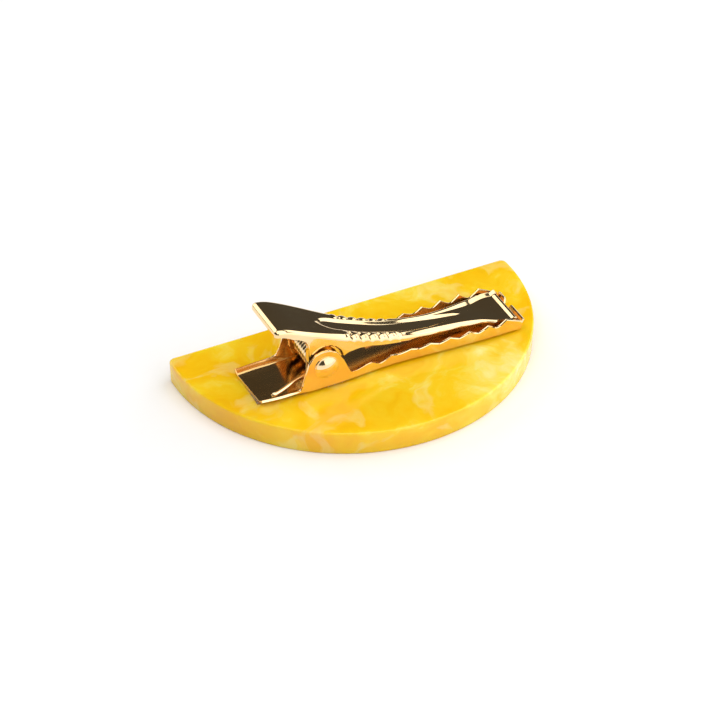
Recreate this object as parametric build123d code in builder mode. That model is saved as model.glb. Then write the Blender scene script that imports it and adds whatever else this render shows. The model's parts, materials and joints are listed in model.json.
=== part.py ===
"""Half-moon hair clip: an acetate plate with a sprung, toothed alligator clip glued to its back.

The clip rests on the plate's decorative face. +X runs along the plate's straight edge, +Y points
to that edge, and +Z points from the decorative face to the back, where the clip is. The origin is
the centre of the bounding box, on the face the clip rests on. All sizes are in millimetres.

The metal clip has a frame of its own: `along` is the distance from the handle end of the lower arm,
`across` the distance from its centre line, and `height` the distance above the plate's back.
"""

from build123d import *
import math
import os

# Acetate plate
plate_radius = 30.0
plate_thickness = 4.0
plate_flat = 1.4  # the straight edge lies this far past the disc's centre
plate_corner = 0.9
plate_edge = 0.4

# Place of the metal clip on the plate's back
clip_turn = -2.0  # degrees about +Z
clip_start_x = -22.0
clip_start_y = 3.0

# Sheet metal and glue
sheet = 0.45
glue = 0.2
glue_margin = 0.6
arm_length = 44.6
cut_over = 1.0  # how far a cutting shape runs past the metal

# Hinge
hinge_along = 10.9
hinge_height = 4.3
pin_radius = 1.0
pin_clearance = 0.05
head_radius = 1.95
head_rise = 0.75

# Lower arm: half widths of its floor and of its walls at wall_level, as (along, half width)
floor_height = glue + sheet
wall_level = 3.4
floor_outline = [(0, 4.2), (4, 4.5), (8, 4.7), (14, 4.65), (21, 3.8), (30, 4.0), (40, 4.15), (44.6, 4.05)]
wall_outline = [(0, 5.2), (4, 5.3), (8, 4.75), (14, 4.7), (21, 4.45), (30, 4.7), (40, 4.75), (44.6, 4.35)]
handle_rim = 0.75
ear_foot_height = 1.2
ear_radius = 3.05
ear_outside = 4.7
ear_back_foot = 6.3
ear_front_foot = 15.2
neck_rim = 1.75

# Teeth along both walls of the lower arm
tooth_count = 8
tooth_pitch = 3.28
first_tooth = 18.1
first_peak = 2.4
last_peak = 3.35
first_valley = 1.5
valley_rim = 2.25

# Turned-up lip at the front of the lower arm
lip_rim = 2.05
notch_centre = 1.0
notch_radius = 0.9

# Upper arm: its top face as (along, height) and its half widths as (along, half width)
top_line = [(3.0, 12.7), (7, 11.4), (12, 9.0), (18, 6.5), (24, 4.75), (30, 3.85), (38, 3.4), (43.2, 2.4)]
top_outline = [(2.2, 4.3), (5, 4.3), (12, 3.66), (20, 2.88), (26, 2.64), (34, 2.92), (40, 3.2), (43.7, 3.4)]
top_drop = 0.5  # height of the sheet measured straight down, where the top face slopes
flange_depth = 1.45
upper_tip = 43.7
tip_foot = floor_height + 0.15
tip_chamfer = 0.8
handle_lip = 1.4
handle_chamfer_along = 0.8
handle_chamfer_height = 0.6

# Ears of the upper arm, which sit inside those of the lower arm
upper_ear_radius = 2.9
upper_ear_outside = 3.65
ear_back_top = 10.6
ear_front_top = 7.6

# Stiffening groove pressed into the top face
groove_depth = 0.3
groove_outline = [(11.6, 0.25), (13.2, 1.15), (18, 1.45), (28, 1.3), (39, 1.3), (41.6, 0.6)]

# Torsion spring wound round the hinge pin
wire = 0.7
coil_radius = 1.9  # to the middle of the wire
coil_half_length = 2.75
coil_turns = 7
leg_gap = 0.02
leg_overlap = 0.25  # each straight leg starts this far back inside the coil
lower_leg_end = (2.3, floor_height + wire / 2 + leg_gap)
upper_leg_end = (4.6, 11.2)

# ---- Frames of the metal clip ----

turn = math.radians(clip_turn)
along_axis = Vector(math.cos(turn), math.sin(turn), 0)
across_axis = Vector(-math.sin(turn), math.cos(turn), 0)
up_axis = Vector(0, 0, 1)
clip_start = Vector(clip_start_x, clip_start_y, plate_thickness)
plate_centre_y = (plate_radius - plate_flat) / 2


def place(along, across, height):
    """The point of the part's frame at a place in the metal clip's frame."""
    return clip_start + along_axis * along + across_axis * across + up_axis * height


def side(across=0.0):
    """A plane along the clip and upright. Its normal points to the near side, away from +Y."""
    return Plane(origin=place(0, across, 0), x_dir=along_axis, z_dir=-across_axis)


def level(height):
    """A plane parallel to the plate's back, drawn in (along, across)."""
    return Plane(origin=place(0, 0, height), x_dir=along_axis, z_dir=up_axis)


def section(along):
    """A plane square across the clip, drawn in (across, height)."""
    return Plane(origin=place(along, 0, 0), x_dir=across_axis, z_dir=along_axis)


def band(stations, inset=0.0):
    """The edges, in (along, across), of a band whose two long sides follow half widths."""
    near = [(along, -(half - inset)) for along, half in stations]
    far = [(along, half - inset) for along, half in stations]
    with BuildLine() as outline:
        Spline(near)
        Line(near[-1], far[-1])
        Spline(far)
        Line(far[0], near[0])
    return outline.edges()


def tangent_angle(end, sense):
    """Angle on the coil, in degrees, where a straight leg to `end` leaves it."""
    reach_along = end[0] - hinge_along
    reach_up = end[1] - hinge_height
    distance = math.hypot(reach_along, reach_up)
    bearing = math.degrees(math.atan2(reach_up, reach_along))
    return bearing + sense * math.degrees(math.acos(coil_radius / distance))


def on_coil(angle, across):
    """The point on the coil's middle circle at an angle in degrees."""
    return place(
        hinge_along + coil_radius * math.cos(math.radians(angle)),
        across,
        hinge_height + coil_radius * math.sin(math.radians(angle)),
    )


os.makedirs("parts", exist_ok=True)

# ---- Acetate plate: a little more than half a disc ----

half_chord = math.sqrt(plate_radius**2 - plate_flat**2)
with BuildPart() as acetate_plate:
    with BuildSketch():
        with BuildLine():
            RadiusArc(
                (-half_chord, plate_centre_y + plate_flat),
                (half_chord, plate_centre_y + plate_flat),
                plate_radius,
                short_sagitta=False,
            )
            Line(
                (half_chord, plate_centre_y + plate_flat),
                (-half_chord, plate_centre_y + plate_flat),
            )
        make_face()
        fillet(vertices(), radius=plate_corner)
    extrude(amount=plate_thickness)
    fillet(
        acetate_plate.faces().filter_by(Axis.Z).edges(),
        radius=plate_edge,
    )
acetate_plate.part.label = "acetate_plate"

# ---- Glue between the plate and the lower arm ----

with BuildPart() as glue_film:
    with BuildSketch(level(0)):
        make_face(band(floor_outline, inset=glue_margin))
    extrude(amount=glue)
glue_film.part.label = "glue_film"

# ---- Lower arm: a toothed channel with two ears ----

with BuildPart() as lower_arm:
    with BuildSketch(level(glue)):
        make_face(band(floor_outline))
    with BuildSketch(level(wall_level)):
        make_face(band(wall_outline))
    loft(ruled=True)

    # Hollow of the channel. It is open at the handle end and closed by the lip at the front.
    hollow_floor = [(along, half - sheet) for along, half in floor_outline]
    hollow_wall = [(along, half - sheet) for along, half in wall_outline]
    hollow_floor[0] = (-cut_over, floor_outline[0][1] - sheet)
    hollow_wall[0] = (-cut_over, wall_outline[0][1] - sheet)
    hollow_floor[-1] = (arm_length - sheet, floor_outline[-1][1] - sheet)
    hollow_wall[-1] = (arm_length - sheet, wall_outline[-1][1] - sheet)
    with BuildSketch(level(floor_height)):
        make_face(band(hollow_floor))
    with BuildSketch(level(wall_level)):
        make_face(band(hollow_wall))
    loft(ruled=True, mode=Mode.SUBTRACT)

    # Rim of both walls, with the teeth
    with BuildSketch(side()):
        with BuildLine():
            rim = [(-cut_over, 0), (-cut_over, handle_rim), (0, handle_rim)]
            rim.append((ear_back_foot, ear_foot_height))
            rim += [(ear_front_foot, neck_rim), (first_tooth - tooth_pitch / 2, neck_rim)]
            for tooth in range(tooth_count):
                rise = tooth / (tooth_count - 1)
                peak_along = first_tooth + tooth * tooth_pitch
                rim.append((peak_along, first_peak + (last_peak - first_peak) * rise))
                if tooth < tooth_count - 1:
                    valley = first_valley if tooth == 0 else valley_rim
                    rim.append((peak_along + tooth_pitch / 2, valley))
            rim += [(arm_length + cut_over, lip_rim), (arm_length + cut_over, 0)]
            Polyline(rim, close=True)
        make_face()
    extrude(amount=wall_outline[0][1] + cut_over, both=True, mode=Mode.INTERSECT)

    # Ears that carry the hinge pin
    for ear_across in (-ear_outside + sheet, ear_outside):
        with BuildSketch(side(ear_across)):
            with BuildLine():
                ear_top = (hinge_along, hinge_height + ear_radius)
                ear_back = (hinge_along - ear_radius, hinge_height)
                ear_front = (hinge_along + ear_radius, hinge_height)
                ThreePointArc(ear_back, ear_top, ear_front)
                Line(ear_front, (ear_front_foot, neck_rim))
                Line((ear_front_foot, neck_rim), (ear_front_foot, glue))
                Line((ear_front_foot, glue), (ear_back_foot, glue))
                Line((ear_back_foot, glue), (ear_back_foot, ear_foot_height))
                Line((ear_back_foot, ear_foot_height), ear_back)
            make_face()
        extrude(amount=sheet)

    # Hole for the pin, and the notch in the front lip
    with BuildSketch(side()):
        with Locations((hinge_along, hinge_height)):
            Circle(pin_radius)
    extrude(amount=ear_outside + cut_over, both=True, mode=Mode.SUBTRACT)
    with BuildSketch(section(arm_length - sheet - cut_over)):
        with Locations((notch_centre, lip_rim)):
            Circle(notch_radius)
    extrude(amount=sheet + 2 * cut_over, mode=Mode.SUBTRACT)
lower_arm.part.label = "lower_arm"

# ---- Upper arm: the lever, with flanges, ears, a groove and two turned-down ends ----

inner_line = [(along, height - top_drop) for along, height in top_line]
flange_line = [(along, height - flange_depth) for along, height in top_line]
lip_back = top_line[0][0] - handle_chamfer_along
lip_foot = top_line[0][1] - handle_lip
lip_shoulder = top_line[0][1] - handle_chamfer_height
full_width = 2 * (top_outline[0][1] + cut_over)
above_all = top_line[0][1] + cut_over


def slab_under_top(upper, lower, outline):
    """A slab that follows the top face between two drops below it, cut to an outline."""
    upper_edge = [(along, height - upper) for along, height in top_line]
    lower_edge = [(along, height - lower) for along, height in top_line]
    with BuildPart() as slab:
        with BuildSketch(side(-full_width / 2)):
            with BuildLine():
                Spline(upper_edge)
                Line(upper_edge[-1], lower_edge[-1])
                Spline(lower_edge)
                Line(lower_edge[0], upper_edge[0])
            make_face()
        extrude(amount=-full_width)
        with BuildSketch(level(0)):
            make_face(band(outline))
        extrude(amount=above_all, mode=Mode.INTERSECT)
    return slab.part


groove_space = slab_under_top(-cut_over, groove_depth, groove_outline)
groove_floor = slab_under_top(groove_depth, groove_depth + top_drop, groove_outline)

# Space under the top face, between the flanges
with BuildPart() as under_arm:
    with BuildSketch(side(-full_width / 2)):
        with BuildLine():
            roof_start = (lip_back + sheet, lip_shoulder)
            roof_end = (upper_tip - sheet, flange_line[-1][1])
            Line(roof_start, inner_line[0])
            Spline(inner_line)
            Line(inner_line[-1], roof_end)
            Polyline(roof_end, (roof_end[0], -cut_over), (roof_start[0], -cut_over), roof_start)
        make_face()
    extrude(amount=-full_width)
    with BuildSketch(level(-cut_over)):
        make_face(band(top_outline, inset=sheet))
    extrude(amount=above_all + cut_over, mode=Mode.INTERSECT)

with BuildPart() as upper_arm:
    with BuildSketch(side(-full_width / 2)):
        with BuildLine():
            Spline(top_line)
            Polyline(
                top_line[-1],
                (upper_tip, tip_foot + tip_chamfer),
                (upper_tip, tip_foot),
                (upper_tip - sheet, tip_foot),
                flange_line[-1],
            )
            Spline(flange_line)
            Polyline(flange_line[0], (lip_back, lip_foot), (lip_back, lip_shoulder), top_line[0])
        make_face()
    extrude(amount=-full_width)
    with BuildSketch(level(0)):
        make_face(band(top_outline))
    extrude(amount=above_all, mode=Mode.INTERSECT)
    add(under_arm.part, mode=Mode.SUBTRACT)
    add(groove_floor)
    add(groove_space, mode=Mode.SUBTRACT)

    # Ears round the hinge pin
    for ear_across in (-upper_ear_outside, upper_ear_outside - sheet):
        with BuildSketch(side(ear_across)):
            with BuildLine():
                ear_bottom = (hinge_along, hinge_height - upper_ear_radius)
                ear_back = (hinge_along - upper_ear_radius, hinge_height)
                ear_front = (hinge_along + upper_ear_radius, hinge_height)
                ThreePointArc(ear_back, ear_bottom, ear_front)
                Line(ear_front, (ear_front[0], ear_front_top))
                Line((ear_front[0], ear_front_top), (ear_back[0], ear_back_top))
                Line((ear_back[0], ear_back_top), ear_back)
            make_face()
        extrude(amount=-sheet)

    # Running hole for the pin
    with BuildSketch(side()):
        with Locations((hinge_along, hinge_height)):
            Circle(pin_radius + pin_clearance)
    extrude(amount=upper_ear_outside + cut_over, both=True, mode=Mode.SUBTRACT)
upper_arm.part.label = "upper_arm"

# ---- Hinge pin: a plain shaft with a domed head on each side ----

dome_radius = (head_radius**2 + head_rise**2) / (2 * head_rise)
half_span = math.asin(head_radius / dome_radius) / 2
dome_rise = head_rise - dome_radius * (1 - math.cos(half_span))
dome_reach = dome_radius * math.sin(half_span)
with BuildPart() as hinge_pin:
    with BuildSketch(section(hinge_along)):
        with BuildLine():
            head_end = (-ear_outside - head_rise, hinge_height)
            tail_end = (ear_outside + head_rise, hinge_height)
            head_rim = (-ear_outside, hinge_height + head_radius)
            tail_rim = (ear_outside, hinge_height + head_radius)
            ThreePointArc(head_end, (-ear_outside - dome_rise, hinge_height + dome_reach), head_rim)
            Polyline(
                head_rim,
                (-ear_outside, hinge_height + pin_radius),
                (ear_outside, hinge_height + pin_radius),
                tail_rim,
            )
            ThreePointArc(tail_rim, (ear_outside + dome_rise, hinge_height + dome_reach), tail_end)
            Line(tail_end, head_end)
        make_face()
    revolve(axis=Axis(place(hinge_along, 0, hinge_height), across_axis))
hinge_pin.part.label = "hinge_pin"

# ---- Torsion spring: a close coil round the pin, with a leg under each handle ----

lower_angle = tangent_angle(lower_leg_end, 1)
upper_angle = tangent_angle(upper_leg_end, -1)
turns_made = coil_turns + (upper_angle - lower_angle) / 360
coil_length = 2 * coil_half_length
coil_start = on_coil(lower_angle, -coil_half_length)
coil_end = on_coil(upper_angle, coil_half_length)
coil_plane = Plane(
    origin=place(hinge_along, -coil_half_length, hinge_height),
    x_dir=coil_start - place(hinge_along, -coil_half_length, hinge_height),
    z_dir=across_axis,
)
with BuildPart() as coil:
    with BuildLine() as coil_line:
        Helix(
            pitch=coil_length / turns_made,
            height=coil_length,
            radius=coil_radius,
            lefthand=True,
        )
    with BuildSketch(Plane(origin=coil_line.edge() @ 0, z_dir=coil_line.edge() % 0)):
        Circle(wire / 2)
    sweep(path=coil_line.edge())

with BuildPart() as torsion_spring:
    add(coil_plane.from_local_coords(coil.part))
    for leg_root, leg_tip in (
        (coil_start, place(lower_leg_end[0], -coil_half_length, lower_leg_end[1])),
        (coil_end, place(upper_leg_end[0], coil_half_length, upper_leg_end[1])),
    ):
        leg = leg_tip - leg_root
        with BuildSketch(Plane(origin=leg_root - leg.normalized() * leg_overlap, z_dir=leg)):
            Circle(wire / 2)
        extrude(amount=leg.length + leg_overlap)
torsion_spring.part.label = "torsion_spring"

for piece in (acetate_plate, glue_film, lower_arm, upper_arm, hinge_pin, torsion_spring):
    export_step(piece.part, f"parts/{piece.part.label}.step")
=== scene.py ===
"""Looks of the half-moon hair clip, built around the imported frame.

The plate, the floor and the camera are in metres. The metal clip is described in millimetres in a frame
of its own, which the hinge gives: `along` runs from the handle end to the jaws, `across` from the centre
line to the far side, and `height` up from the plate's back. place() turns a point of it into metres.
"""

import bisect
import json
import math

import bmesh
import bpy
import numpy as np
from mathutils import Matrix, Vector


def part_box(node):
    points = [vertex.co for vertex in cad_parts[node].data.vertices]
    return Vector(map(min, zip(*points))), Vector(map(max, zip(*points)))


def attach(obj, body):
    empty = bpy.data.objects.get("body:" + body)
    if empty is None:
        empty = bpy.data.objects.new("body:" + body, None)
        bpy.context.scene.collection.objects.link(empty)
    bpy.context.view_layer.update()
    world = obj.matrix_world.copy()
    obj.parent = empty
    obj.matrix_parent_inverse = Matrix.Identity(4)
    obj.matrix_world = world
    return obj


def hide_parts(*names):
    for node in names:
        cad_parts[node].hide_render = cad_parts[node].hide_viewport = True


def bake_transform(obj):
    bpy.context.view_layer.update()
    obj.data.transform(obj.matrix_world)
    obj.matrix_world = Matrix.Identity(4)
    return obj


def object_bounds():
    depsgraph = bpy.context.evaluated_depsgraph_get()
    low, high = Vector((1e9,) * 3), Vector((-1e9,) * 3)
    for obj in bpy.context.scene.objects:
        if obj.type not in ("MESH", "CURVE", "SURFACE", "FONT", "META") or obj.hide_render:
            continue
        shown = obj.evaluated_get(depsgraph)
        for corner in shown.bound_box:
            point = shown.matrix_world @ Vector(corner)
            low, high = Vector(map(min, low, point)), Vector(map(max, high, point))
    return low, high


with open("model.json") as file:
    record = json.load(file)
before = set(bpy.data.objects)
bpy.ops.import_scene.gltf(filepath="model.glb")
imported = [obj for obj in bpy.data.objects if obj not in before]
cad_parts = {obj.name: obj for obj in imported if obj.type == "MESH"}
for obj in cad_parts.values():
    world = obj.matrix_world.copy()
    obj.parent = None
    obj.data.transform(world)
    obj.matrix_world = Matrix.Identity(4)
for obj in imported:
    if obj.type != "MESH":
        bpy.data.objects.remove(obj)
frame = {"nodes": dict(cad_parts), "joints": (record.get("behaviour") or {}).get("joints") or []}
cad_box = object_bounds()
MM = 0.001

# ---- Clip frame ----

HINGE_ALONG = 10.9
HINGE_HEIGHT = 4.3
hinge = frame["joints"][0]
pivot = Vector(hinge["pos_m"])
ACROSS = -Vector(hinge["axis"]).normalized()
UP = Vector((0, 0, 1))
ALONG = ACROSS.cross(UP)
clip_start = pivot - (ALONG * HINGE_ALONG + UP * HINGE_HEIGHT) * MM


def place(along, across, height):
    """A point of the clip's frame, in metres."""
    return clip_start + (ALONG * along + ACROSS * across + UP * height) * MM


# ---- Curves and small functions ----


def rim_curve(points):
    """A function through (x, y) points that adds no bumps of its own, for rims."""
    xs, ys = zip(*points)
    steps = [(y1 - y0) / (x1 - x0) for (x0, y0), (x1, y1) in zip(points, points[1:])]
    slopes = [steps[0]]
    for left, right in zip(steps, steps[1:]):
        slopes.append(2 * left * right / (left + right) if left * right > 0 else 0.0)
    slopes.append(steps[-1])

    def value(x):
        x = min(max(x, xs[0]), xs[-1])
        i = min(bisect.bisect_right(xs, x), len(xs) - 1) - 1
        width = xs[i + 1] - xs[i]
        t = (x - xs[i]) / width
        start = ys[i] + slopes[i] * width * t
        end = ys[i + 1] - slopes[i + 1] * width * (1 - t)
        return start + (end - start) * t * t * (3 - 2 * t)

    return value


def fair_curve(points):
    """A natural cubic spline through (x, y) points, for surfaces that mirror their surroundings."""
    xs, ys = np.array(points, float).T
    gaps = np.diff(xs)
    matrix = np.eye(len(xs))
    right = np.zeros(len(xs))
    for i in range(1, len(xs) - 1):
        matrix[i, i - 1 : i + 2] = gaps[i - 1], 2 * (gaps[i - 1] + gaps[i]), gaps[i]
        right[i] = 6 * ((ys[i + 1] - ys[i]) / gaps[i] - (ys[i] - ys[i - 1]) / gaps[i - 1])
    bends = np.linalg.solve(matrix, right)

    def value(x):
        x = min(max(x, xs[0]), xs[-1])
        i = min(int(np.searchsorted(xs, x, side="right")), len(xs) - 1) - 1
        before, after = x - xs[i], xs[i + 1] - x
        width = gaps[i]
        cubes = (bends[i] * after**3 + bends[i + 1] * before**3) / (6 * width)
        line = (ys[i] / width - bends[i] * width / 6) * after
        line += (ys[i + 1] / width - bends[i + 1] * width / 6) * before
        return float(cubes + line)

    return value


def smooth(t):
    """0 below 0, 1 above 1, and a smooth step between."""
    t = min(max(t, 0.0), 1.0)
    return t * t * (3 - 2 * t)


def spread(first, last, count):
    """count + 1 even values from first to last."""
    return [first + (last - first) * i / count for i in range(count + 1)]


# ---- Mesh helpers ----

BEND_ROWS = 8  # rows of faces round each pressed bend
WIRE_END_SHRINK = 0.55


def new_object(name, mesh, material):
    piece = bpy.data.objects.new(name, mesh)
    bpy.context.scene.collection.objects.link(piece)
    mesh.materials.append(material)
    return piece


def finished(piece):
    """Applies a piece's modifiers, so that its mesh is final."""
    bpy.context.view_layer.update()
    graph = bpy.context.evaluated_depsgraph_get()
    mesh = bpy.data.meshes.new_from_object(
        piece.evaluated_get(graph), preserve_all_data_layers=True, depsgraph=graph
    )
    piece.modifiers.clear()
    piece.data = mesh
    return piece


def join_patches(patches, weld=1e-6):
    """One mesh of quads over patches, each a list of rows of points. Shared points are welded."""
    build = bmesh.new()
    for rows in patches:
        made = [[build.verts.new(point) for point in row] for row in rows]
        for row, following in zip(made, made[1:]):
            for a, b, c, d in zip(row, row[1:], following[1:], following):
                build.faces.new((a, b, c, d))
    bmesh.ops.remove_doubles(build, verts=build.verts, dist=weld)
    bmesh.ops.dissolve_degenerate(build, edges=build.edges, dist=weld)
    return build


def soften(piece, width, angle=50.0):
    """Rounds a piece's sharp edges and keeps its flat faces flat."""
    bevel = piece.modifiers.new("edges", "BEVEL")
    bevel.width = width
    bevel.segments = 2
    bevel.limit_method = "ANGLE"
    bevel.angle_limit = math.radians(angle)
    normals = piece.modifiers.new("normals", "WEIGHTED_NORMAL")
    normals.keep_sharp = True


def pressed_sheet(name, patches, thickness, material, inside, edge=0.06):
    """Sheet metal: the patches are its outer face, and it is thickened inwards."""
    build = join_patches(patches)
    mesh = bpy.data.meshes.new(name)
    build.to_mesh(mesh)
    build.free()
    mesh.shade_smooth()
    piece = new_object(name, mesh, material)
    # The inner faces take the darker inside gold, which paints shade onto them
    mesh.materials.append(inside)
    solid = piece.modifiers.new("thickness", "SOLIDIFY")
    solid.thickness = thickness * MM
    solid.offset = -1
    solid.material_offset = 1
    soften(piece, edge * MM)
    return finished(piece)


def lathe(name, profile, centre, axis, material, steps=72):
    """A solid turned round an axis. The profile is (radius, distance along the axis) in millimetres."""
    side = axis.orthogonal().normalized()
    other = axis.cross(side)
    build = bmesh.new()
    rings = []
    for radius, distance in profile:
        middle = centre + axis * distance * MM
        if radius == 0:
            rings.append([build.verts.new(middle)])
            continue
        ring = []
        for i in range(steps):
            turn = 2 * math.pi * i / steps
            spoke = side * math.cos(turn) + other * math.sin(turn)
            ring.append(build.verts.new(middle + spoke * radius * MM))
        rings.append(ring)
    for ring, following in zip(rings, rings[1:]):
        for i in range(steps):
            corners = [ring[i % len(ring)], ring[(i + 1) % len(ring)]]
            corners += [following[(i + 1) % len(following)], following[i % len(following)]]
            build.faces.new(list(dict.fromkeys(corners)))
    bmesh.ops.recalc_face_normals(build, faces=build.faces)
    mesh = bpy.data.meshes.new(name)
    build.to_mesh(mesh)
    build.free()
    mesh.shade_smooth()
    return new_object(name, mesh, material)


def tube(name, path, radius, material, steps=16):
    """A round wire along a path of points in metres, closed by flat ends a little narrower than it."""
    build = bmesh.new()
    rings = []
    side = (path[1] - path[0]).orthogonal().normalized()
    for i, point in enumerate(path):
        run = (path[min(i + 1, len(path) - 1)] - path[max(i - 1, 0)]).normalized()
        side = (side - run * side.dot(run)).normalized()
        other = run.cross(side)
        shrink = WIRE_END_SHRINK if i in (0, len(path) - 1) else 1.0
        ring = []
        for j in range(steps):
            turn = 2 * math.pi * j / steps
            spoke = side * math.cos(turn) + other * math.sin(turn)
            ring.append(build.verts.new(point + spoke * radius * shrink))
        rings.append(ring)
    for ring, following in zip(rings, rings[1:]):
        for j in range(steps):
            k = (j + 1) % steps
            build.faces.new((ring[j], ring[k], following[k], following[j]))
    build.faces.new(rings[0][::-1])
    build.faces.new(rings[-1])
    mesh = bpy.data.meshes.new(name)
    build.to_mesh(mesh)
    build.free()
    mesh.shade_smooth()
    return new_object(name, mesh, material)


# ---- Materials ----


class Nodes:
    """A material's node tree, with short ways to add and join nodes."""

    def __init__(self, name):
        self.material = bpy.data.materials.new(name)
        self.material.use_nodes = True
        self.tree = self.material.node_tree
        self.shader = self.tree.nodes["Principled BSDF"]
        self.place = self.add("ShaderNodeTexCoord").outputs["Object"]

    def add(self, kind, inputs=None, **settings):
        node = self.tree.nodes.new(kind)
        for key, value in settings.items():
            setattr(node, key, value)
        for key, value in (inputs or {}).items():
            if isinstance(value, bpy.types.NodeSocket):
                self.tree.links.new(value, node.inputs[key])
            else:
                node.inputs[key].default_value = value
        return node

    def link(self, output, socket):
        self.tree.links.new(output, self.shader.inputs[socket])

    def noise(self, scale, detail=3.0, vector=None, **inputs):
        values = {"Vector": vector or self.place, "Scale": scale, "Detail": detail, **inputs}
        return self.add("ShaderNodeTexNoise", values).outputs["Fac"]

    def ramp(self, value, stops):
        """stops are (position, grey) or (position, (r, g, b))."""
        node = self.add("ShaderNodeValToRGB", {"Fac": value})
        elements = node.color_ramp.elements
        while len(elements) < len(stops):
            elements.new(0.5)
        for element, (position, colour) in zip(elements, stops):
            element.position = position
            rgb = colour if isinstance(colour, tuple) else (colour,) * 3
            element.color = (*rgb, 1)
        return node.outputs["Color"]

    def mix(self, factor, first, second, blend="MIX"):
        node = self.add("ShaderNodeMix", data_type="RGBA", blend_type=blend)
        for index, value in ((0, factor), (6, first), (7, second)):
            if isinstance(value, bpy.types.NodeSocket):
                self.tree.links.new(value, node.inputs[index])
            elif index:
                node.inputs[index].default_value = (*value, 1)
            else:
                node.inputs[index].default_value = value
        return node.outputs[2]

    def maths(self, operation, first, second=0.0):
        node = self.add("ShaderNodeMath", {0: first, 1: second}, operation=operation)
        return node.outputs["Value"]

    def vector_maths(self, operation, inputs):
        return self.add("ShaderNodeVectorMath", inputs, operation=operation).outputs["Vector"]

    def stretched(self, scale, vector=None, turn=(0.0, 0.0, 0.0)):
        values = {"Vector": vector or self.place, "Scale": scale, "Rotation": turn}
        return self.add("ShaderNodeMapping", values).outputs["Vector"]

    def bump(self, height, distance, strength=1.0):
        node = self.add("ShaderNodeBump", {"Height": height, "Distance": distance, "Strength": strength})
        self.link(node.outputs["Normal"], "Normal")


def gold_plate(name, colour, roughness=0.07, wobble=0.000004):
    """Bright gold-plated steel: tone that drifts a little, fine rubbing marks, faint press waviness."""
    m = Nodes(name)
    drift = m.noise(180.0, 2.0)
    deep = tuple(c * f for c, f in zip(colour, (0.97, 0.9, 0.8)))
    m.link(m.mix(m.ramp(drift, [(0.35, 0.0), (0.7, 1.0)]), colour, deep), "Base Color")
    m.shader.inputs["Metallic"].default_value = 1.0
    rubbed = m.noise(900.0, 4.0, m.stretched((0.15, 1.0, 1.0)))
    specks = m.noise(5200.0, 2.0)
    rubs = m.ramp(rubbed, [(0.45, 0.0), (0.8, 0.6)])
    pits = m.ramp(specks, [(0.62, 0.0), (0.74, 0.5)])
    marks = m.maths("ADD", rubs, pits)
    m.link(m.maths("ADD", m.maths("MULTIPLY", marks, 0.12), roughness), "Roughness")
    m.bump(m.noise(420.0, 1.0), wobble)
    return m.material


def marbled_acetate():
    """Cellulose acetate sheet: clear golden yellow with paler pearly clouds drawn out by rolling."""
    m = Nodes("marbled_acetate")
    warp = m.add("ShaderNodeTexNoise", {"Vector": m.place, "Scale": 55.0, "Detail": 3.0}).outputs["Color"]
    shift = m.vector_maths("SUBTRACT", {0: warp, 1: (0.5, 0.5, 0.5)})
    push = m.vector_maths("SCALE", {0: shift, 3: 0.03})
    flow = m.vector_maths("ADD", {0: m.place, 1: push})
    clouds = m.noise(95.0, 5.0, m.stretched((0.55, 1.0, 1.0), flow, (0, 0, 0.5)), Roughness=0.55)
    wisps = m.noise(260.0, 6.0, m.stretched((0.35, 1.0, 1.0), flow, (0, 0, -0.5)), Roughness=0.6)
    pale = m.maths("ADD", m.maths("MULTIPLY", clouds, 0.7), m.maths("MULTIPLY", wisps, 0.3))
    colour = m.ramp(
        pale,
        [
            (0.38, (0.90, 0.47, 0.002)),
            (0.48, (0.94, 0.54, 0.004)),
            (0.56, (0.96, 0.61, 0.015)),
            (0.63, (0.97, 0.72, 0.10)),
            (0.72, (0.98, 0.84, 0.36)),
        ],
    )
    veins = m.noise(170.0, 4.0, m.stretched((0.45, 1.0, 1.0), flow, (0, 0, -0.8)), Roughness=0.5)
    streaks = m.ramp(veins, [(0.55, 0.0), (0.63, 0.24), (0.72, 0.08), (0.82, 0.0)])
    m.link(m.mix(streaks, colour, (0.98, 0.86, 0.42)), "Base Color")
    m.shader.inputs["Subsurface Weight"].default_value = 0.55
    m.shader.inputs["Subsurface Radius"].default_value = (1.0, 0.62, 0.12)
    m.shader.inputs["Subsurface Scale"].default_value = 0.0035
    m.shader.inputs["IOR"].default_value = 1.49
    scratches = m.noise(2600.0, 3.0, m.stretched((0.08, 1.0, 1.0), None, (0, 0, 0.4)))
    hairs = m.ramp(scratches, [(0.5, 0.0), (0.8, 0.12)])
    m.link(m.maths("ADD", hairs, 0.16), "Roughness")
    m.bump(m.noise(240.0, 3.0), 0.00001)
    return m.material


def epoxy():
    """Clear glue with a faint warm cast and small trapped bubbles."""
    m = Nodes("clear_glue")
    bubbles = m.ramp(m.noise(1500.0, 2.0), [(0.6, 0.0), (0.7, 1.0)])
    m.link(m.mix(bubbles, (0.98, 0.92, 0.72), (1.0, 0.97, 0.9)), "Base Color")
    m.link(m.maths("ADD", m.maths("MULTIPLY", bubbles, 0.2), 0.15), "Roughness")
    m.shader.inputs["Transmission Weight"].default_value = 0.9
    m.shader.inputs["IOR"].default_value = 1.5
    return m.material


def studio_floor():
    m = Nodes("studio_floor")
    grain = m.noise(300.0, 4.0)
    m.link(m.mix(grain, (0.93, 0.93, 0.93), (0.95, 0.95, 0.95)), "Base Color")
    m.link(m.ramp(grain, [(0.3, 0.55), (0.7, 0.65)]), "Roughness")
    m.shader.inputs["Specular IOR Level"].default_value = 0.2
    return m.material


gold = gold_plate("gold_plate", (0.97, 0.75, 0.43))
gold_pin = gold_plate("gold_pin", (1.0, 0.80, 0.50), roughness=0.06)
gold_wire = gold_plate("gold_wire", (1.0, 0.79, 0.47), roughness=0.12)
# A darker, browner copy of the gold for the sheets' inner faces: painted shade for the hollows inside and
# between the arms
gold_inside_painted_shade = gold_plate("gold_inside_painted_shade", (0.78, 0.52, 0.22), roughness=0.15)
acetate = marbled_acetate()

# ---- Acetate plate ----

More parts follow.
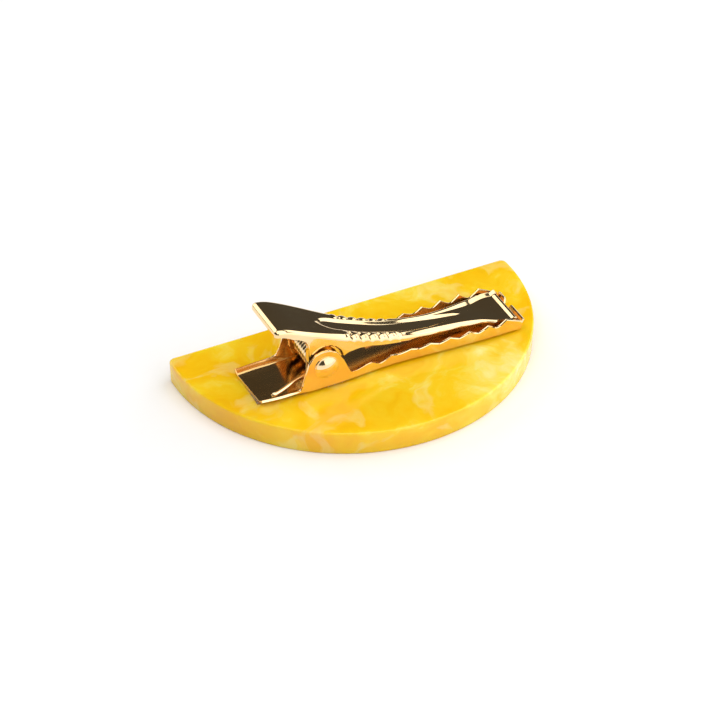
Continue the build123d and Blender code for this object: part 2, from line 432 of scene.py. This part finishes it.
PLATE_RADIUS = 30.0
PLATE_THICKNESS = 4.0
PLATE_FLAT = 1.4
PLATE_CORNER = 1.0
SMALLEST_CORNER = 0.05
EDGE_ROUND = 0.3


def plate_outline(inset, steps=150):
    """The half-moon's outline in millimetres, set in by inset, round the arc and then the straight edge."""
    radius = PLATE_RADIUS - inset
    flat = PLATE_FLAT - inset
    corner = max(PLATE_CORNER - inset, SMALLEST_CORNER)
    middle_across = flat - corner
    middle_along = math.sqrt((radius - corner) ** 2 - middle_across**2)
    bearing = math.atan2(middle_across, middle_along)
    points = []
    for turn in spread(math.pi - bearing, 2 * math.pi + bearing, steps):
        points.append((radius * math.cos(turn), radius * math.sin(turn)))
    for turn in spread(bearing, math.pi / 2, 8)[1:]:
        points.append((middle_along + corner * math.cos(turn), middle_across + corner * math.sin(turn)))
    for turn in spread(math.pi / 2, math.pi - bearing, 8)[:-1]:
        points.append((-middle_along + corner * math.cos(turn), middle_across + corner * math.sin(turn)))
    return points


def build_plate():
    low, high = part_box("acetate_plate")
    centre = Vector(((low.x + high.x) / 2, high.y - PLATE_FLAT * MM, low.z))
    profile = []
    for turn in spread(0.0, math.pi / 2, 5):
        profile.append((EDGE_ROUND * (1 - math.sin(turn)), EDGE_ROUND * (1 - math.cos(turn))))
    for turn in spread(0.0, math.pi / 2, 5):
        height = PLATE_THICKNESS - EDGE_ROUND * (1 - math.sin(turn))
        profile.append((EDGE_ROUND * (1 - math.cos(turn)), height))
    build = bmesh.new()
    rings = []
    for inset, height in profile:
        outline = plate_outline(inset)
        rings.append([build.verts.new(centre + Vector((x, y, height)) * MM) for x, y in outline])
    for ring, following in zip(rings, rings[1:]):
        for i in range(len(ring)):
            j = (i + 1) % len(ring)
            build.faces.new((ring[i], ring[j], following[j], following[i]))
    build.faces.new(rings[0][::-1])
    build.faces.new(rings[-1])
    mesh = bpy.data.meshes.new("plate")
    build.to_mesh(mesh)
    build.free()
    mesh.shade_smooth()
    plate = new_object("plate", mesh, acetate)
    normals = plate.modifiers.new("normals", "WEIGHTED_NORMAL")
    normals.weight = 100
    finished(plate)
    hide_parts("acetate_plate")
    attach(plate, "base")


# ---- Upper arm ----

# Each curve gives a size in millimetres at a distance along the arm.
SHEET = 0.45
TOP = fair_curve(
    [(2.4, 13.0), (4.2, 12.82), (7, 11.7), (12, 9.22), (18, 6.55)]
    + [(24, 4.65), (30, 3.62), (38, 3.2), (43.6, 2.4)]
)
OUTER = fair_curve(
    [(2.3, 4.36), (5, 4.44), (10, 4.02), (16, 3.34), (22, 2.8)]
    + [(28, 2.47), (33, 2.45), (38.3, 2.95), (43, 3.72)]
)
FLANGE_FOOT = rim_curve(
    [(2.3, 12.15), (3.7, 11.85), (4.6, 11.55), (5.6, 11.0), (7.5, 10.0), (8.0, 9.3)]
    + [(8.2, 8.2), (8.3, 3.4), (9.3, 1.9), (10.9, 1.4), (12.5, 1.9), (13.6, 3.2), (13.85, 4.3)]
    + [(14.2, 4.75), (16, 5.1), (18, 4.9), (20.5, 4.2), (24, 3.4), (27.5, 2.7), (32.5, 2.25)]
    + [(38, 2.1), (39.8, 2.15)]
)
FLANGE_END = 40.4
FLANGE_FADE = 1.2
FADE_LEAD = 1.0  # the flange starts to end this far before FLANGE_END
PAD_START = 38.0
PAD_HALF = 3.72
TIP_LINE = 43.35
TIP_FOOT = 0.8
TIP_SLOPE = 0.75
TIP_EDGE = 0.42
TIP_BEND = 0.4
TIP_ROWS = 6
BEND = rim_curve(
    [(2.3, 0.7), (9, 0.7), (12, 0.8), (15, 0.95), (27, 0.95)]
    + [(33, 0.8), (37, 0.6), (40, 0.4), (42, 0.25)]
)
FLARE = rim_curve(
    [(2.3, 0.1), (7, 0.12), (10, 0.08), (14, 0.12), (20, 0.16), (26, 0.1), (30, 0.03), (40, 0.03)]
)
FLARE_REACH = 1.5
RECESS_RADIUS = 3.2
RECESS_DEPTH = 0.5
RECESS_RAMP = 0.16
GROOVE = fair_curve(
    [(11.0, 0.0), (12.3, 0.95), (14.8, 1.38), (18, 1.45), (22.5, 1.3)]
    + [(27, 1.4), (31, 1.15), (34.5, 0.5), (36, 0.2)]
)
GROOVE_START = 11.0
GROOVE_END = 36.0
GROOVE_TAPER = 1.4
GROOVE_WALL = 0.62
GROOVE_WALL_SHIFT = 0.35  # moves the wall out, as a share of its width
GROOVE_DEPTH = rim_curve([(11.0, 0.0), (12.2, 0.26), (16, 0.34), (30, 0.34), (34, 0.2), (36, 0.1)])
RIB_START = 14.4
RIB_PITCH = 1.6
RIB_COUNT = 7
RIB_HEIGHT = 0.4
RIB_GAP = 0.25  # from the groove to the ribs
RIB_END = 0.35
RIB_FADE_IN = 0.6  # in ribs
RIB_FADE_OUT = 1.5
RIB_SHAPE = 0.7  # a lower power gives rounder ribs
RIB_SINK = 0.7
FALL_ROWS = 38
TOP_COLUMNS = 44
EDGE_SLOPE = 0.42
EDGE_WIDTH = rim_curve([(26, 0), (28, 0.1), (34, 0.4), (39, 0.75), (43, 0.7), (44, 0.7)])
CORNER = 3.5
LEVER_SKEW = 0.045
SKEW_FADE = 5
HINGE_ZONE = (7.2, 15.0)  # the rows are closest here, round the ears and the recess


def groove_drop(along, across):
    """How far the long groove is pressed into the top face."""
    if not GROOVE_START < along < GROOVE_END:
        return 0.0
    half = GROOVE(along) * math.sqrt(smooth((GROOVE_END - along) / GROOVE_TAPER))
    return GROOVE_DEPTH(along) * smooth((half - abs(across)) / GROOVE_WALL + GROOVE_WALL_SHIFT)


def rib_rise(along, across):
    """Height of the finger ribs across each shoulder, between the groove and the bend."""
    count = (along - RIB_START) / RIB_PITCH
    if not 0 < count < RIB_COUNT:
        return 0.0
    inner = GROOVE(along) + RIB_GAP
    reach = smooth((abs(across) - inner) / RIB_END)
    fade = smooth(count / RIB_FADE_IN) * smooth((RIB_COUNT - count) / RIB_FADE_OUT)
    return RIB_HEIGHT * reach * fade * (abs(math.sin(math.pi * count)) ** RIB_SHAPE - RIB_SINK)


def top_height(along):
    """Height of the top face. Its jaw end has a narrow raised edge."""
    return TOP(along) + TIP_SLOPE * max(0.0, along - TIP_LINE + TIP_EDGE)


def upper_section(along):
    """One row of points across the upper arm's outer face, from the near flange to the far one."""
    top = top_height(along)
    bend = BEND(along)
    pad = smooth((along - PAD_START) / (TIP_LINE - PAD_START))
    flat = OUTER(along) - bend
    flat += (PAD_HALF - flat) * pad
    ending = math.sqrt(max(0.0, 1 - smooth((along - FLANGE_END + FADE_LEAD) / FLANGE_FADE)))
    depth = (top - FLANGE_FOOT(along)) * ending
    swing = math.acos(max(0.0, 1 - depth / bend)) if depth < bend else math.pi / 2
    raised = EDGE_SLOPE * EDGE_WIDTH(along)
    half = []
    for turn in spread(0.0, swing, BEND_ROWS)[1:]:
        across = flat + bend * math.sin(turn)
        rib = rib_rise(along, across) * math.sqrt(math.cos(turn))
        half.append((across, top - bend * (1 - math.cos(turn)) + rib))
    for fall in spread(0.0, max(depth - bend, 0.0), FALL_ROWS)[1:]:
        across = flat + bend * math.sin(swing) + FLARE(along) * min(fall, FLARE_REACH)
        height = top - bend - fall if depth > bend else top - depth
        near_hinge = math.hypot(along - HINGE_ALONG, height - HINGE_HEIGHT)
        across -= RECESS_DEPTH * smooth((RECESS_RADIUS - near_hinge) / RECESS_RAMP + 0.5)
        half.append((across, height))
    middle = []
    for share in spread(-1.0, 1.0, TOP_COLUMNS):
        across = share * flat
        edge = EDGE_SLOPE * max(0.0, across - flat + EDGE_WIDTH(along))
        middle.append((across, top - groove_drop(along, across) + rib_rise(along, across) + edge))
    section = [(-across, height) for across, height in reversed(half)] + middle
    section += [(across, height + raised) for across, height in half]
    return [place(along - end_skew(along) * across, across, height) for across, height in section]


def end_skew(along):
    """The handle's end is cut a little askew, and the skew fades out along the arm."""
    return LEVER_SKEW * (1 - smooth((along - CORNER) / SKEW_FADE))


def handle_end(corner_along):
    """The turned-down end of the handle: a rounded corner that joins the lip to both flanges."""
    top = TOP(corner_along)
    bend = BEND(corner_along)
    flat = OUTER(corner_along) - bend
    depth = top - FLANGE_FOOT(corner_along)

    def row(tilt, fall):
        points = []
        for turn in spread(-math.pi / 2, 0.0, BEND_ROWS)[:-1]:
            points.append((math.cos(turn), -flat + bend * math.sin(turn)))
        points += [(1.0, flat * share) for share in spread(-1.0, 1.0, TOP_COLUMNS)]
        for turn in spread(0.0, math.pi / 2, BEND_ROWS)[1:]:
            points.append((math.cos(turn), flat + bend * math.sin(turn)))
        out, rise = bend * math.sin(tilt), bend * math.cos(tilt)
        return [
            place(corner_along - out * c - LEVER_SKEW * across, across, top - bend + rise * c - fall)
            for c, across in points
        ]

    rows = [row(math.pi / 2, fall) for fall in spread(depth - bend, 0.0, FALL_ROWS)]
    return rows + [row(tilt, 0.0) for tilt in spread(math.pi / 2, 0.0, BEND_ROWS)[1:]]


def tip_lip():
    """The jaw end of the upper arm, bent down towards the floor of the lower arm."""
    step = 0.2
    slope = math.atan2(top_height(TIP_LINE - step) - top_height(TIP_LINE), step)
    rows = []

    def edge_height(across):
        return EDGE_SLOPE * max(0.0, across - PAD_HALF + EDGE_WIDTH(TIP_LINE))

    centre_along = TIP_LINE - TIP_BEND * math.sin(slope)
    centre_height = top_height(TIP_LINE) - TIP_BEND * math.cos(slope)
    for turn in spread(slope, math.pi / 2, BEND_ROWS):
        rows.append((centre_along + TIP_BEND * math.sin(turn), centre_height + TIP_BEND * math.cos(turn)))
    for fall in spread(0.0, centre_height - TIP_FOOT, TIP_ROWS)[1:]:
        rows.append((centre_along + TIP_BEND, centre_height - fall))
    flange = FALL_ROWS + BEND_ROWS
    shares = [-1.0] * flange + spread(-1.0, 1.0, TOP_COLUMNS) + [1.0] * flange
    return [
        [place(along, share * PAD_HALF, height + edge_height(share * PAD_HALF)) for share in shares]
        for along, height in rows
    ]


def build_upper_arm():
    zone_start, zone_end = HINGE_ZONE
    stations = spread(CORNER, zone_start, 40) + spread(zone_start, zone_end, 78)[1:]
    stations += spread(zone_end, TIP_LINE, 190)[1:]
    faces = [handle_end(CORNER), [upper_section(along) for along in stations], tip_lip()]
    patches = [[row[::-1] for row in patch] for patch in faces]
    arm = pressed_sheet("lever_arm", patches, SHEET, gold, gold_inside_painted_shade)
    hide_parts("upper_arm")
    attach(arm, "lever")


# ---- Lower arm ----

FLOOR_BASE = 0.2
WALL_LEVEL = 3.4
FOLD = rim_curve([(0, 2.0), (4, 1.8), (6.5, 1.2), (9.5, 0.5), (44.6, 0.5)])
LOWER_LENGTH = 44.6
LOWER_SHEET = 0.34
SKEW = rim_curve([(0, 0.09), (6, 0.02), (9, 0), (15, 0), (19, 0.05), (38, 0.05), (42.5, 0)])
FLOOR_HALF = fair_curve(
    [(0, 4.95), (4, 5.15), (7.4, 4.8), (9, 4.68), (13.5, 4.5)]
    + [(20, 3.85), (30, 3.95), (40, 4.15), (44.6, 4.1)]
)
WALL_HALF = fair_curve(
    [(0, 5.15), (4, 5.3), (7.4, 4.85), (9, 4.7), (13.5, 4.7)]
    + [(20, 4.45), (30, 4.7), (40, 4.78), (44.6, 4.45)]
)
EAR_RIM = rim_curve(
    [(0, 0.95), (3, 1.0), (5.4, 1.1), (6.25, 1.25), (6.9, 2.25), (7.7, 4.6), (8.4, 6.05)]
    + [(9.5, 7.1), (10.8, 7.35), (12.1, 6.85), (13.3, 5.55), (14.1, 4.0), (14.7, 2.6)]
    + [(15.25, 1.9), (15.8, 1.86), (16.6, 2.0), (17.4, 2.25)]
)
TEETH_EASE = 17.0  # the rim starts to rise to the first tooth here
TOOTH_COUNT = 8
TOOTH_PITCH = 3.31
FIRST_TOOTH = 18.35
PEAKS = (2.4, 3.4)
FIRST_VALLEY = 1.55
VALLEY = 2.25
TOOTH_SHAPE = 1.35  # above 1 the teeth's flanks are hollow
FRONT_RIM = 2.0
FLOOR_COLUMNS = 40
WALL_ROWS = 16
STATION_STEP = 0.16
JOIN_TOLERANCE = 1e-6


def rim_height(along):
    """Height of the lower arm's walls: handle rim, ears, then the row of teeth."""
    count = (along - FIRST_TOOTH) / TOOTH_PITCH
    if count < 0:
        ease = smooth((along - TEETH_EASE) / (FIRST_TOOTH - TEETH_EASE))
        return EAR_RIM(along) * (1 - ease) + PEAKS[0] * ease
    last = TOOTH_COUNT - 1
    if count >= last:
        last_tooth = FIRST_TOOTH + last * TOOTH_PITCH
        share = (along - last_tooth) / (LOWER_LENGTH - last_tooth)
        return PEAKS[1] + (FRONT_RIM - PEAKS[1]) * share
    step = int(count)
    part = count - step
    nearest = step + (part > 0.5)
    peak = PEAKS[0] + (PEAKS[1] - PEAKS[0]) * nearest / last
    valley = FIRST_VALLEY if step == 0 else VALLEY
    climb = abs(part - 0.5) * 2
    return valley + (peak - valley) * climb**TOOTH_SHAPE


def lower_section(along):
    """One row of points across the lower arm's outer face, from the near rim to the far one."""
    floor = FLOOR_HALF(along)
    lean = WALL_HALF(along) - floor
    rise = WALL_LEVEL - FLOOR_BASE
    angle = math.atan2(rise, lean)
    fold = FOLD(along)
    flat = floor - fold * math.tan(angle / 2)
    half = []
    swing = min(angle, math.acos(max(-1.0, 1 - (rim_height(along) - FLOOR_BASE) / fold)))
    for turn in spread(0.0, swing, BEND_ROWS)[1:]:
        half.append((flat + fold * math.sin(turn), FLOOR_BASE + fold * (1 - math.cos(turn))))
    foot_across, foot_height = half[-1]
    climb = max(0.0, rim_height(along) - foot_height)
    for share in spread(0.0, 1.0, WALL_ROWS)[1:]:
        half.append((foot_across + climb * share / math.tan(angle), foot_height + climb * share))
    middle = [(flat * share, FLOOR_BASE) for share in spread(-1.0, 1.0, FLOOR_COLUMNS)]
    section = [(-across, height) for across, height in reversed(half)] + middle + half
    return [place(along - SKEW(along) * across, across, height) for across, height in section]


LIP_START = 43.9
LIP_BEND = 0.55
LIP_LEAN = 27.0
LIP_RIM = 2.05
LIP_HALF = 3.95
LIP_ROWS = 8
NOTCH_CENTRE = 1.0
NOTCH_HALF = 1.0
NOTCH_DEPTH = 0.9


def front_lip():
    """The floor's front end, turned up between the walls and notched."""
    upright = math.radians(90 - LIP_LEAN)
    angle = math.atan2(WALL_LEVEL - FLOOR_BASE, WALL_HALF(LIP_START) - FLOOR_HALF(LIP_START))
    flat = FLOOR_HALF(LIP_START) - FOLD(LIP_START) * math.tan(angle / 2)
    columns = []
    for share in spread(-1.0, 1.0, FLOOR_COLUMNS):
        column = []
        for turn in spread(0.0, upright, BEND_ROWS):
            half = flat + (LIP_HALF - flat) * smooth(turn / upright)
            along = LIP_START + LIP_BEND * math.sin(turn)
            column.append((along, share * half, FLOOR_BASE + LIP_BEND * (1 - math.cos(turn))))
        along, across, height = column[-1]
        notch = 1 - ((across - NOTCH_CENTRE) / NOTCH_HALF) ** 2
        top = LIP_RIM - NOTCH_DEPTH * math.sqrt(max(notch, 0.0))
        for part in spread(0.0, 1.0, LIP_ROWS)[1:]:
            rise = (top - height) * part
            column.append((along + rise / math.tan(upright), across, height + rise))
        columns.append([place(*point) for point in column])
    return [list(row) for row in zip(*columns)]


def lower_stations():
    """Places of the rows along the lower arm, with one at each tooth's tip and valley."""
    teeth = [FIRST_TOOTH + TOOTH_PITCH * i / 2 for i in range(2 * TOOTH_COUNT - 1)]
    marks = [0.0] + teeth + [LIP_START, LOWER_LENGTH]
    stations = []
    for mark, following in zip(marks, marks[1:]):
        count = max(1, round((following - mark) / STATION_STEP))
        stations += spread(mark, following, count)[:-1]
    return stations + [LOWER_LENGTH]


def build_lower_arm():
    stations = lower_stations()
    rows = [lower_section(along) for along in stations]
    channel = [row for row, along in zip(rows, stations) if along <= LIP_START + JOIN_TOLERANCE]
    front = [row for row, along in zip(rows, stations) if along >= LIP_START - JOIN_TOLERANCE]
    wall_columns = BEND_ROWS + WALL_ROWS
    patches = [channel, front_lip()]
    patches += [[row[: wall_columns + 1] for row in front], [row[-wall_columns - 1 :] for row in front]]
    arm = pressed_sheet("toothed_arm", patches, LOWER_SHEET, gold, gold_inside_painted_shade)
    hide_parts("lower_arm")
    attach(arm, "base")


# ---- Hinge pin ----

EAR_OUTSIDE = 4.72
PIN_RADIUS = 1.0
HEAD_RADIUS = 1.95
HEAD_RISE = 0.75
DOME_SHARE = 0.94  # the dome stops short of the head's rim, which is rounded
HEAD_RIM = ((0.985, 0.12), (1.0, 0.05), (0.98, 0.0))  # share of the head's radius, height


def build_pin():
    dome = (HEAD_RADIUS**2 + HEAD_RISE**2) / (2 * HEAD_RISE)
    spans = spread(0.0, math.asin(HEAD_RADIUS / dome) * DOME_SHARE, 10)
    cap = [(dome * math.sin(turn), EAR_OUTSIDE + HEAD_RISE - dome * (1 - math.cos(turn))) for turn in spans]
    for share, lift in HEAD_RIM:
        cap.append((HEAD_RADIUS * share, EAR_OUTSIDE + lift))
    cap.append((PIN_RADIUS, EAR_OUTSIDE))
    profile = [(r, -d) for r, d in cap] + [(r, d) for r, d in reversed(cap)]
    profile[0] = (0, profile[0][1])
    profile[-1] = (0, profile[-1][1])
    pin = lathe("pivot_pin", profile, pivot, ACROSS, gold_pin)
    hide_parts("hinge_pin")
    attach(pin, "base")


# ---- Torsion spring ----

WIRE = 0.7
COIL_RADIUS = 1.9
COIL_HALF = 2.5
COIL_TURNS = 7
STEPS_PER_TURN = 48
LEG_SPLAY = 1.25
LEG_STRAIGHT = 0.62
LOWER_LEG = (2.3, 1.02)
UPPER_LEG = (4.6, 11.2)


def leave_angle(end, sense):
    """Angle on the coil where a straight leg to `end` leaves it."""
    reach_along, reach_up = end[0] - HINGE_ALONG, end[1] - HINGE_HEIGHT
    bearing = math.atan2(reach_up, reach_along)
    return bearing + sense * math.acos(COIL_RADIUS / math.hypot(reach_along, reach_up))


def build_spring():
    first = leave_angle(LOWER_LEG, 1)
    last = leave_angle(UPPER_LEG, -1)
    sweep = -(COIL_TURNS * 2 * math.pi + last - first)
    steps = STEPS_PER_TURN * COIL_TURNS
    coil = []
    for i in range(steps + 1):
        turn = first - abs(sweep) * i / steps
        across = -COIL_HALF + 2 * COIL_HALF * i / steps
        along = HINGE_ALONG + COIL_RADIUS * math.cos(turn)
        coil.append(place(along, across, HINGE_HEIGHT + COIL_RADIUS * math.sin(turn)))
    lower = place(LOWER_LEG[0], -COIL_HALF, LOWER_LEG[1])
    upper = place(UPPER_LEG[0], COIL_HALF, UPPER_LEG[1])
    path = []
    for share in spread(0.0, 1.0, 24)[:-1]:
        splay = LEG_SPLAY * smooth(1 - share / LEG_STRAIGHT)
        path.append(lower.lerp(coil[0], share) - ACROSS * splay * MM)
    path += coil
    path += [coil[-1].lerp(upper, share) for share in spread(0.0, 1.0, 12)[1:]]
    spring = tube("coil_spring", path, WIRE / 2 * MM, gold_wire)
    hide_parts("torsion_spring")
    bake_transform(spring)


build_plate()
build_upper_arm()
build_lower_arm()
build_pin()
build_spring()
glue = frame["nodes"]["glue_film"]
glue.data.materials.clear()
glue.data.materials.append(epoxy())

# ---- Floor, light and camera ----

FLOOR_RADIUS = 1.6
floor_mesh = bpy.data.meshes.new("floor")
floor_build = bmesh.new()
bmesh.ops.create_circle(floor_build, cap_ends=True, segments=96, radius=FLOOR_RADIUS)
floor_build.to_mesh(floor_mesh)
floor_build.free()
floor = new_object("floor", floor_mesh, studio_floor())
floor.location.z = cad_box[0][2]


def softbox(name, azimuth, elevation, distance, width, height, radiance):
    """A soft rectangular light that faces the object. Its strength is given as a radiance."""
    lamp = bpy.data.lights.new(name, "AREA")
    lamp.shape = "RECTANGLE"
    lamp.size, lamp.size_y = width, height
    lamp.energy = radiance * math.pi * width * height
    turn, lift = math.radians(azimuth), math.radians(elevation)
    toward = Vector((math.cos(turn) * math.cos(lift), math.sin(turn) * math.cos(lift), math.sin(lift)))
    holder = bpy.data.objects.new(name, lamp)
    holder.location = toward * distance
    holder.rotation_euler = toward.to_track_quat("Z", "Y").to_euler()
    holder.visible_camera = False
    bpy.context.scene.collection.objects.link(holder)


softbox("overhead", -90, 72, 2.1, 3.6, 3.4, 1.68)
softbox("right_side", 8, 28, 1.5, 1.24, 0.9, 1.7)
softbox("front", -55, 16, 2.0, 3.0, 1.2, 1.5)
softbox("back_left", 116, 28, 1.5, 1.33, 1.1, 1.7)

world = bpy.data.worlds.new("studio")
bpy.context.scene.world = world
world.use_nodes = True
tree = world.node_tree
background = tree.nodes["Background"]
paths = tree.nodes.new("ShaderNodeLightPath")
tone = tree.nodes.new("ShaderNodeMix")
tone.data_type = "RGBA"
# The metal mirrors a dark room, while the camera sees a pale backdrop.
tone.inputs[6].default_value = (0.065, 0.06, 0.055, 1)
tone.inputs[7].default_value = (0.96, 0.96, 0.96, 1)
tree.links.new(paths.outputs["Is Camera Ray"], tone.inputs[0])
tree.links.new(tone.outputs[2], background.inputs["Color"])

CAMERA_AZIMUTH = math.radians(-26.81)
CAMERA_ELEVATION = math.radians(38.239)
CAMERA_DISTANCE = 0.2899185
CAMERA_SIDE = -0.0023114
CAMERA_RISE = 0.0045810
plate_low, plate_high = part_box("acetate_plate")
disc_centre = Vector(((plate_low.x + plate_high.x) / 2, plate_high.y - PLATE_FLAT * MM, plate_low.z))
back = Vector(
    (
        math.sin(CAMERA_AZIMUTH) * math.cos(CAMERA_ELEVATION),
        -math.cos(CAMERA_AZIMUTH) * math.cos(CAMERA_ELEVATION),
        math.sin(CAMERA_ELEVATION),
    )
)
right = UP.cross(back).normalized()
top = back.cross(right)
lens = bpy.data.cameras.new("camera")
lens.lens = 90
lens.sensor_width = 36
lens.clip_start = 0.01
lens.clip_end = 20
camera = bpy.data.objects.new("camera", lens)
bpy.context.scene.collection.objects.link(camera)
camera.location = disc_centre + back * CAMERA_DISTANCE - right * CAMERA_SIDE - top * CAMERA_RISE
camera.rotation_euler = back.to_track_quat("Z", "Y").to_euler()
bpy.context.scene.camera = camera
bpy.context.scene.view_settings.view_transform = "Standard"
